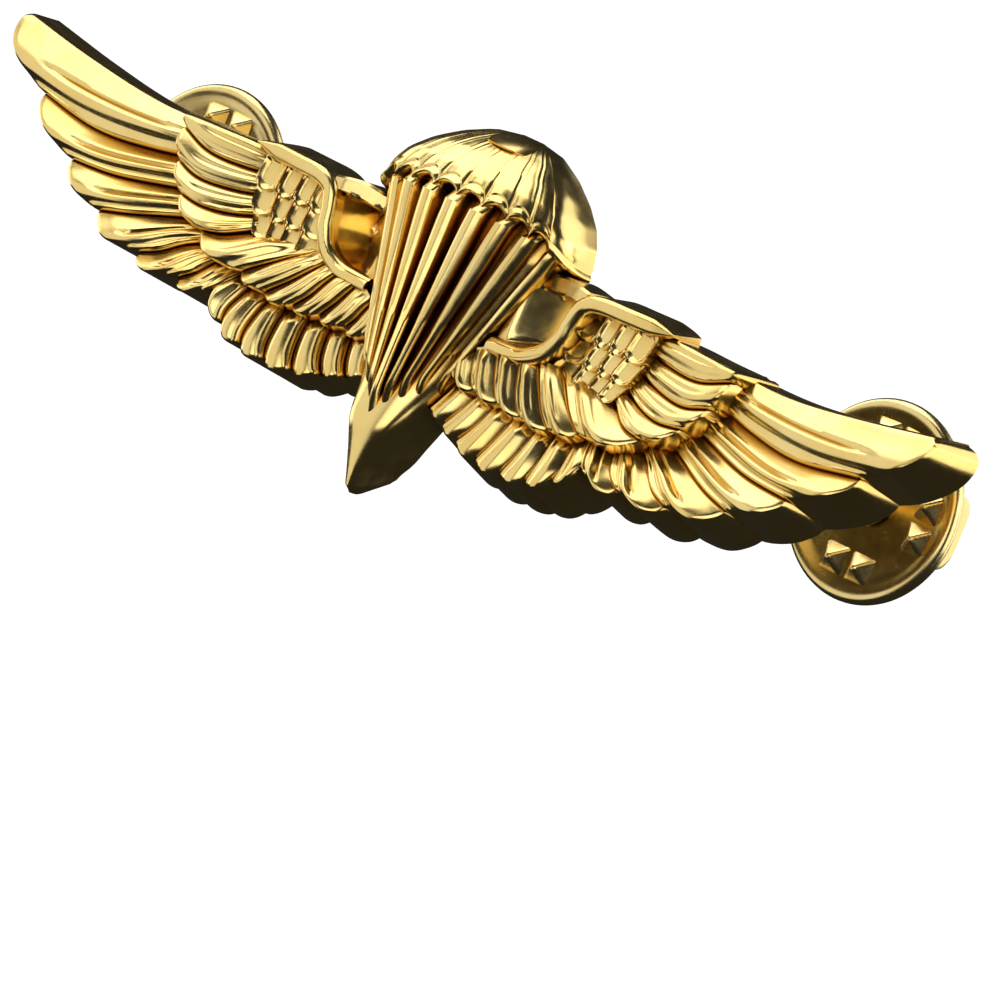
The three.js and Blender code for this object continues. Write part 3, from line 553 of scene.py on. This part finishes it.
def canopy_edge(turns):
    """Height of the skirt: an arch over each gore, hanging lower towards the sides."""
    gore = np.abs(np.sin(math.pi * turns / LINE_TURN))
    inside = np.abs(turns) < LINES_EACH_SIDE * LINE_TURN
    drop = 1.25 * (1 - np.cos(turns)) ** 1.1
    beyond = np.clip(np.abs(turns) - LINES_EACH_SIDE * LINE_TURN, 0, 1)
    return 4.3 - drop + np.where(inside, GORE_LIFT * gore**0.55, 0) - 0.2 * smoothstep(beyond, 0, 0.3)


def canopy_ring(turns, z, inset):
    """Points round the canopy at the given heights, moved in from its surface by inset."""
    wide = along_table(CANOPY_OUTLINE, z) - inset
    deep = np.maximum(along_table(CANOPY_FRONT, z) - inset, 0.05)
    height = deep * np.sqrt(np.clip(np.cos(turns), 0, 1))
    return np.stack([wide * np.sin(turns), -height, np.broadcast_to(z, turns.shape)], 1)


def canopy(solid):
    turns = canopy_turns()
    edge = canopy_edge(turns)
    roof = np.full(turns.shape, CANOPY_ROOF)
    rings = [canopy_ring(turns, roof, 1.5), canopy_ring(turns, edge + 0.35, 0.95)]
    for lift, inset in [(0.1, 0.6), (0.0, 0.32), (0.03, 0.12), (0.11, -0.03), (0.23, -0.1), (0.36, -0.08),
                        (0.48, 0.0), (0.6, 0.04)]:
        rings.append(canopy_ring(turns, edge + lift, inset))
    for ring in rings[:3]:
        ring[:, 1] = np.minimum(ring[:, 1], -CAVITY_SETBACK)
    gore = np.abs(np.sin(math.pi * turns / LINE_TURN))
    inside = 1 - smoothstep(np.abs(turns), LINES_EACH_SIDE * LINE_TURN, LINES_EACH_SIDE * LINE_TURN + 0.1)
    for share in np.linspace(0.04, 1, 26):
        z = edge + SKIRT_HEIGHT + (CANOPY_PEAK - edge - SKIRT_HEIGHT) * share
        wide = along_table(CANOPY_OUTLINE, z) * LINE_TURN
        gap = wide * np.arcsin(np.clip(gore, 0, 1)) / math.pi
        seam = np.exp(-(((gap - 0.16) / 0.09) ** 2)) * 0.045
        bulge = 0.13 * gore**0.8 * (1 - share) - 0.08
        inset = -(bulge + seam) * inside * (1 - 0.5 * share) - 0.03
        rings.append(canopy_ring(turns, z, inset))
    solid.rings(rings)


def apex(solid):
    """A small round cap where the seams meet."""
    turns = np.linspace(-math.pi / 2, math.pi / 2, 41)
    rings = []
    for z, wide, deep in [(7.7, 1.6, 2.2), (7.72, 1.85, 2.44), (7.82, 1.93, 2.5), (8.1, 1.88, 2.12),
                          (8.4, 1.65, 1.5), (8.62, 1.2, 0.9), (8.72, 0.7, 0.4)]:
        front = -deep * np.sqrt(np.clip(np.cos(turns), 0, 1))
        rings.append(np.stack([wide * np.sin(turns), front, np.full(turns.shape, z)], 1))
    solid.rings(rings)


def cone(solid):
    """The body under the lines: grooves between them above, one smooth half cone below."""
    turns = math.pi / 2 * np.sin(np.linspace(-math.pi / 2, math.pi / 2, 61))
    turns = 0.5 * turns + 0.5 * np.linspace(-math.pi / 2, math.pi / 2, 61)
    rings = []
    for z in [*np.linspace(-12.5, -11.4, 7), *np.linspace(-11, 5.6, 56)]:
        wide, deep = along_table(CONE_OUTLINE, z), along_table(CONE_FRONT, z)
        soft = 0.35 * (1 - smoothstep(z, -12.5, -12.1))
        bluff = 0.12 + 0.38 * smoothstep(z, -9, -4)
        height = (deep - soft) * np.clip(np.cos(turns), 0, 1) ** bluff
        across = (wide - soft * 0.5) * np.sin(turns)
        under = 1.1 * (1 - smoothstep(height, 0, 2.6)) * (1 - smoothstep(z, -12.5, -9.5))
        rings.append(np.stack([across, -height, z + under], 1))
    solid.rings(rings)


def suspension_line(solid, k, side):
    """A flat-topped strap with bevelled edges that narrows and sinks into the cone."""
    (x0, h0), (x1, h1) = LINE_TOPS[k], LINE_FEET[k]
    skirt = float(canopy_edge(np.array([k * LINE_TURN]))[0])
    low = LINE_END + LINE_SHORTER * k
    tilt = math.radians(LINE_TILTS[k]) * side
    rings = []
    for z in np.linspace(low, skirt + 0.6, 40):
        share = (z + 5) / 8
        x, h = x1 + (x0 - x1) * share, h1 + (h0 - h1) * min(share, 1.0)
        h -= (0.5 + 0.15 * k) * (1 - smoothstep(z, low, low + 2.2))
        h -= 0.6 * smoothstep(z, skirt - 0.1, skirt + 0.5)
        half = 0.5 * (0.5 + 0.5 * smoothstep(share, 0, 1))
        section = [(-half * 1.05, -1.5), (-half, -0.3), (-half * 0.86, -0.12), (-half * 0.5, -0.02),
                   (0, 0.03), (half * 0.5, -0.02), (half * 0.86, -0.12), (half, -0.3), (half * 1.05, -1.5)]
        ring = []
        for across, out in section:
            px = side * x + across * math.cos(tilt) + out * math.sin(tilt)
            ring.append((px, min(-0.02, -(h - across * math.sin(tilt) + out * math.cos(tilt))), z))
        rings.append(ring)
    solid.rings(rings)


def parachute():
    solid = Solid()
    canopy(solid)
    apex(solid)
    cone(solid)
    suspension_line(solid, 0, 1)
    for k in range(1, LINES_EACH_SIDE + 1):
        for side in (-1, 1):
            suspension_line(solid, k, side)
    return solid.stagger(CHUTE_STEP, CHUTE_STEP).shift(z=DATUM)


# ---------- posts and clutches ----------
PYRAMID_BASE, PYRAMID_HEIGHT, PYRAMID_PITCH, PYRAMID_RING = 1.62, 0.8, 1.85, 3.6
SHEET = 0.35  # of the jaws and ears
JAW_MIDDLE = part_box("clutch_right_thumb_wing_right")[0][1] / MM + SHEET / 2
JAW_HALF_WIDTH, EAR_WIDENING = 1.1, 1.0
JAW_MOUTH = 0.6  # radius of the hollow in a jaw's end, round the post
EAR_CORNER = 0.9
GRIP_DEPTH = 0.12  # of the notch that the jaws close in
WIRE_OPENING = (118, 422)  # degrees that the spring wire runs between
WINDOW_HALF, WINDOW_MARGIN, WINDOW_REACH = 1.3, 0.35, 0.7


def arc(centre, radius, start, stop, count):
    turns = np.radians(np.linspace(start, stop, count))
    return [(centre[0] + radius * math.cos(a), centre[1] + radius * math.sin(a)) for a in turns]


def disc():
    """Pressed sheet with a rolled edge, a ring step and eight small pyramids."""
    solid = Solid()
    hole, rim = 0.98, DISC_RADIUS - RIM_RADIUS
    centre = DISC_BACK - RIM_RADIUS
    front, back = centre - DISC_SHEET / 2, centre + DISC_SHEET / 2
    crest = centre - RIM_RADIUS
    solid.lathe([(hole, back - 0.06), (hole, front + 0.06), (hole + 0.06, front), (4.15, front),
                 (4.4, front - 0.03), (4.65, front - 0.11), (4.85, crest + 0.04), (5.0, crest),
                 *arc((rim, centre), RIM_RADIUS, -90, 90, 14), (rim - 0.15, back + 0.12), (4.75, back + 0.04),
                 (4.3, back), (hole + 0.06, back)])
    k = np.linspace(-0.5, 0.5, 13)
    u, v = np.meshgrid(k, k, indexing="ij")
    slope = 1 - 2 * np.maximum(np.abs(u), np.abs(v))
    slope = np.where(slope > 0.88, 0.88 + (slope - 0.88) * 0.4, slope)
    height = 0.1 + PYRAMID_HEIGHT * slope
    for quarter in range(4):
        for sign in (-1, 1):
            one = Solid()
            flat = np.stack([u * PYRAMID_BASE + sign * PYRAMID_PITCH / 2,
                             v * PYRAMID_BASE + PYRAMID_RING], -1)
            one.slab(flat, height, lambda n: np.full(len(n), 0.05), base=-0.05)
            one.shift(y=front + 0.12).turn(90 * quarter)
            solid.add(one.points[0], one.faces)
    return solid


def eyelet():
    solid = Solid()
    low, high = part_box("clutch_right_eyelet")
    bore, tube, flange = 0.63, 0.87, (high[0] - low[0]) / 2 / MM
    front, end = low[1] / MM, high[1] / MM
    seat = front + 0.25
    solid.lathe([(bore, end), (bore, front + 0.2), (bore + 0.07, front + 0.06), (bore + 0.2, front),
                 (flange - 0.12, front), (flange - 0.03, front + 0.05), (flange, front + 0.13),
                 (flange - 0.03, seat - 0.03), (flange - 0.1, seat), (tube, seat), (tube, end)], 72)
    return solid


def back_shell():
    """Deep cup that holds the jaws and the spring; its bend is round and its mouth turned in."""
    solid = Solid()
    outer, sheet, bore, bend = SHELL_RADIUS, 0.3, 0.9, 0.7
    inner = outer - sheet
    solid.lathe([(inner, SHELL_FRONT + 0.05), (outer - 0.05, SHELL_FRONT), (outer, SHELL_FRONT + 0.08),
                 *arc((outer - bend, SHELL_BACK - bend), bend, 0, 90, 8), (bore + 0.12, SHELL_BACK),
                 (bore, SHELL_BACK - 0.1), (bore, SHELL_BACK - sheet),
                 *arc((inner - bend + 0.2, SHELL_BACK - sheet - bend + 0.2), bend - 0.2, 90, 0, 6)], 96)
    return solid


def post():
    solid = Solid()
    r, grip, waist = POST_RADIUS, JAW_MIDDLE, POST_RADIUS - GRIP_DEPTH
    solid.lathe([(0.0, 0.06), (r, 0.06), (r, grip - 0.42), (waist + 0.03, grip - 0.3), (waist, grip - 0.2),
                 (waist, grip + 0.2), (waist + 0.03, grip + 0.3), (r, grip + 0.42), (r, POST_TIP - 1.0),
                 (r * 0.9, POST_TIP - 0.75), (r * 0.5, POST_TIP - 0.25), (r * 0.25, POST_TIP - 0.06),
                 (0.0, POST_TIP)], 48)
    return solid


def pad():
    """Solder pad: a low disc with a rounded edge and a fillet that climbs the post."""
    solid = Solid()
    solid.lathe([(0.55, 0.05), (1.5, 0.05), (1.6, 0.12), (1.58, 0.3), (1.4, 0.42), (1.05, 0.45), (0.8, 0.5),
                 (0.66, 0.58), (0.55, 0.6)], 64)
    return solid


def thumb_wing():
    """One jaw and its ear, a single bent strip with rounded corners."""
    low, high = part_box("clutch_right_thumb_wing_right")
    reach, back = high[0] / MM - POST_X, high[1] / MM
    front = low[1] / MM
    bend = SHELL_RADIUS + 0.55
    solid = Solid()
    path = [(0.18, front + SHEET / 2), (bend - 0.5, front + SHEET / 2), (bend, front + 0.32),
            (reach - 0.22, back - 1.1), (reach - SHEET / 2, back - 0.03)]
    at = np.linspace(0, 1, 60)
    line = spline(path, at)
    onward = unit(np.gradient(line, axis=0))
    aside = np.stack([-onward[:, 1], onward[:, 0]], 1)
    run = at * np.linalg.norm(np.diff(line, axis=0), axis=1).sum()
    left = run[-1] - run
    half = JAW_HALF_WIDTH + EAR_WIDENING * (1 - smoothstep(left, EAR_CORNER, 2.0))
    corner = np.clip(1 - left / EAR_CORNER, 0, 1)
    half = half - EAR_CORNER * (1 - np.sqrt(1 - 0.98 * corner**2))
    rings = []
    shares = np.linspace(-1, 1, 19)
    for spot, side, wide, far in zip(line, aside, half, run):
        z = shares * wide
        pull = np.clip(1 - far / 1.2, 0, 1) * np.sqrt(np.clip(JAW_MOUTH**2 - z**2, 0, None))
        edge = SHEET / 2 * np.sqrt(np.clip(1 - np.abs(shares) ** 8, 0.12, 1))
        over = np.stack([spot[0] + pull + side[0] * edge, spot[1] + side[1] * edge, z], 1)
        under = np.stack([spot[0] + pull - side[0] * edge, spot[1] - side[1] * edge, z], 1)
        rings.append(np.vstack([over, under[::-1]]))
    solid.rings(rings, strips=True)
    return solid


def spring():
    """Wire bent nearly full circle, open at the top."""
    low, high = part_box("clutch_right_spring")
    wire = (high[1] - low[1]) / 2 / MM
    radius = (high[0] - low[0]) / 2 / MM - wire
    y = (high[1] + low[1]) / 2 / MM
    rings = []
    for turn in np.radians(np.linspace(*WIRE_OPENING, 90)):
        ring = [((radius + wire * math.cos(a)) * math.cos(turn), y + wire * math.sin(a),
                 (radius + wire * math.cos(a)) * math.sin(turn))
                for a in np.linspace(0, 2 * math.pi, 13)[:-1]]
        rings.append(ring)
    solid = Solid()
    solid.rings(rings)
    return solid


def slot_shell(obj, centre):
    """Cuts the side windows that the jaws swing in."""
    jaw_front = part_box("clutch_right_thumb_wing_right")[0][1] / MM
    window, wide = Solid(), SHELL_RADIUS + 1
    bar(window, (-wide, jaw_front - WINDOW_MARGIN, -WINDOW_HALF),
        (wide, jaw_front + WINDOW_REACH, WINDOW_HALF))
    tool = bpy.data.objects.new("window", window.shift(x=centre).mesh("window"))
    bpy.context.scene.collection.objects.link(tool)
    cut = obj.modifiers.new("windows", "BOOLEAN")
    cut.object, cut.operation, cut.solver = tool, "DIFFERENCE", "EXACT"
    graph = bpy.context.evaluated_depsgraph_get()
    obj.data = bpy.data.meshes.new_from_object(obj.evaluated_get(graph))
    obj.modifiers.clear()
    bpy.data.objects.remove(tool)


piece(wings(), "wings", "badge", POLISHED, ["wings_casting"])
piece(parachute(), "parachute", "badge", POLISHED, ["parachute_emblem"])
for side, sign in (("left", -1), ("right", 1)):
    name = f"clutch_{side}"
    x = sign * POST_X
    piece(post().shift(x=x), f"stem_{side}", "badge", STAMPED, [f"post_{side}"])
    piece(pad().shift(x=x), f"solder_pad_{side}", "badge", STAMPED, [f"post_pad_{side}"])
    piece(disc().shift(x=x), f"{name}_plate", f"{name}_body", STAMPED, [f"{name}_disc"])
    piece(eyelet().shift(x=x), f"{name}_rivet", f"{name}_guide", STAMPED, [f"{name}_eyelet"])
    shell = piece(back_shell().shift(x=x), f"{name}_cup", f"{name}_body", STAMPED,
                  [f"{name}_back_shell"])
    slot_shell(shell, x)
    piece(spring().shift(x=x), f"{name}_wire", f"{name}_body", WIRE, [f"{name}_spring"])
    piece(thumb_wing().shift(x=x), f"{name}_ear_right", f"{name}_wing_right", STAMPED,
          [f"{name}_thumb_wing_right"])
    piece(thumb_wing().turn(180).shift(x=x), f"{name}_ear_left", f"{name}_wing_left", STAMPED,
          [f"{name}_thumb_wing_left"])


# ---------- floor, light and camera ----------
CAMERA_PLACE = Vector((433.006, -547.271, 40.422)) * MM
CAMERA_RIGHT = Vector((0.71086, 0.58722, 0.38711))
CAMERA_UP = Vector((-0.34581, -0.18747, 0.91939))
CAMERA_BACK = Vector((0.61245, -0.78742, 0.06980))
LENS = 467.46
FLOOR_DROP = 70
FLOOR_REACH = 9000
FLOOR_GLOW = 1.1
SURROUND = 0.02  # what the metal reflects where no light stands


def plain(name, colour, roughness):
    material = bpy.data.materials.new(name)
    material.use_nodes = True
    shader = material.node_tree.nodes["Principled BSDF"]
    shader.inputs["Base Color"].default_value = (*colour, 1)
    shader.inputs["Roughness"].default_value = roughness
    return material


def floor():
    """A flat pale floor, open on all sides; polished metal doesn't mirror it."""
    reach = FLOOR_REACH
    corners = [(-reach, -reach), (reach, -reach), (reach, reach), (-reach, reach)]
    data = bpy.data.meshes.new("floor")
    data.from_pydata([(x * MM, y * MM, -FLOOR_DROP * MM) for x, y in corners], [], [(0, 1, 2, 3)])
    pale = plain("pale_floor", (0.95, 0.95, 0.95), 0.9)
    shader = pale.node_tree.nodes["Principled BSDF"]
    shader.inputs["Emission Color"].default_value = (1, 1, 1, 1)
    shader.inputs["Emission Strength"].default_value = FLOOR_GLOW
    data.materials.append(pale)
    obj = bpy.data.objects.new("floor", data)
    bpy.context.scene.collection.objects.link(obj)
    obj.visible_glossy = False


def panel(name, direction, distance, size, glow, colour=(1, 1, 1)):
    """A soft rectangular light that faces the badge; glow is how bright its face looks."""
    light = bpy.data.lights.new(name, "AREA")
    light.shape = "RECTANGLE"
    light.size, light.size_y = size[0] * MM, size[1] * MM
    light.energy = glow * math.pi * light.size * light.size_y
    light.color = colour
    obj = bpy.data.objects.new(name, light)
    bpy.context.scene.collection.objects.link(obj)
    away_from = Vector(direction).normalized()
    obj.location = away_from * distance * MM
    obj.rotation_euler = away_from.to_track_quat("Z", "Y").to_euler()


def world():
    """White behind the badge, and dark in its reflections."""
    studio = bpy.data.worlds.new("studio")
    studio.use_nodes = True
    tree = studio.node_tree
    background = tree.nodes["Background"]
    background.inputs["Color"].default_value = (1, 1, 1, 1)
    path = node(tree, "ShaderNodeLightPath", (-2, 0))
    strength = node(tree, "ShaderNodeMapRange", (-1, 0), {"To Min": SURROUND, "To Max": 1.0})
    tree.links.new(path.outputs["Is Camera Ray"], strength.inputs["Value"])
    tree.links.new(strength.outputs["Result"], background.inputs["Strength"])
    bpy.context.scene.world = studio


def camera():
    data = bpy.data.cameras.new("camera")
    data.lens = LENS
    data.sensor_width = 36
    data.clip_start, data.clip_end = 0.01, 20
    obj = bpy.data.objects.new("camera", data)
    bpy.context.scene.collection.objects.link(obj)
    turned = Matrix((CAMERA_RIGHT, CAMERA_UP, CAMERA_BACK)).transposed().to_4x4()
    obj.matrix_world = Matrix.Translation(CAMERA_PLACE) @ turned
    bpy.context.scene.camera = obj


floor()
world()
bpy.context.scene.view_settings.view_transform = "Standard"
panel("key", (-0.66, -0.74, -0.1), 420, (400, 620), 0.8)
panel("high", (-0.55, -0.25, 0.8), 460, (420, 320), 1.9)
panel("left", (-0.98, -0.05, 0.15), 480, (300, 420), 1.6)
panel("top", (0.6, 0.3, 0.74), 480, (520, 480), 1.3)
panel("right", (0.97, 0.0, 0.1), 500, (420, 420), 1.5, (1.0, 0.96, 0.88))
panel("front", (0.19, -0.98, 0.12), 790, (600, 560), 1.5)
panel("behind", (0.0, 0.97, 0.25), 560, (420, 420), 0.8)
panel("behind_right", (0.62, 0.78, 0.05), 560, (420, 420), 1.2)
camera()
